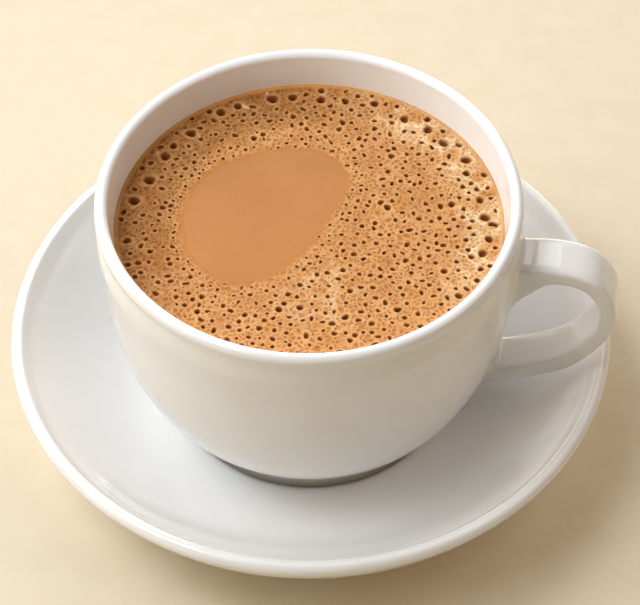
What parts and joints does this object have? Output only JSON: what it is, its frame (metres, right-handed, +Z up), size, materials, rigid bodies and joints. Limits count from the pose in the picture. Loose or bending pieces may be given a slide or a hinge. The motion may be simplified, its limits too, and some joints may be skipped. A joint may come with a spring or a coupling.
{
  "type": "cup of irani chai",
  "caption": "Milky tea with a pitted froth skin and a bare patch, in a round white cup with a strap handle, standing on a deep white saucer.",
  "frame": {"origin": "centre of the saucer's foot ring, on the surface it stands on", "axes": "+Z up, +X along the cup's handle, away from the cup"},
  "size_m": [0.1441, 0.144, 0.0725],
  "materials": {
    "saucer_glaze": "smooth glossy white glaze",
    "cup_glaze": "smooth glossy white glaze",
    "chai": null,
    "froth": null
  },
  "bodies": {
    "root": {"saucer": "saucer_glaze", "cup": "cup_glaze", "chai": "chai", "froth": "froth"}
  },
  "joints": []
}
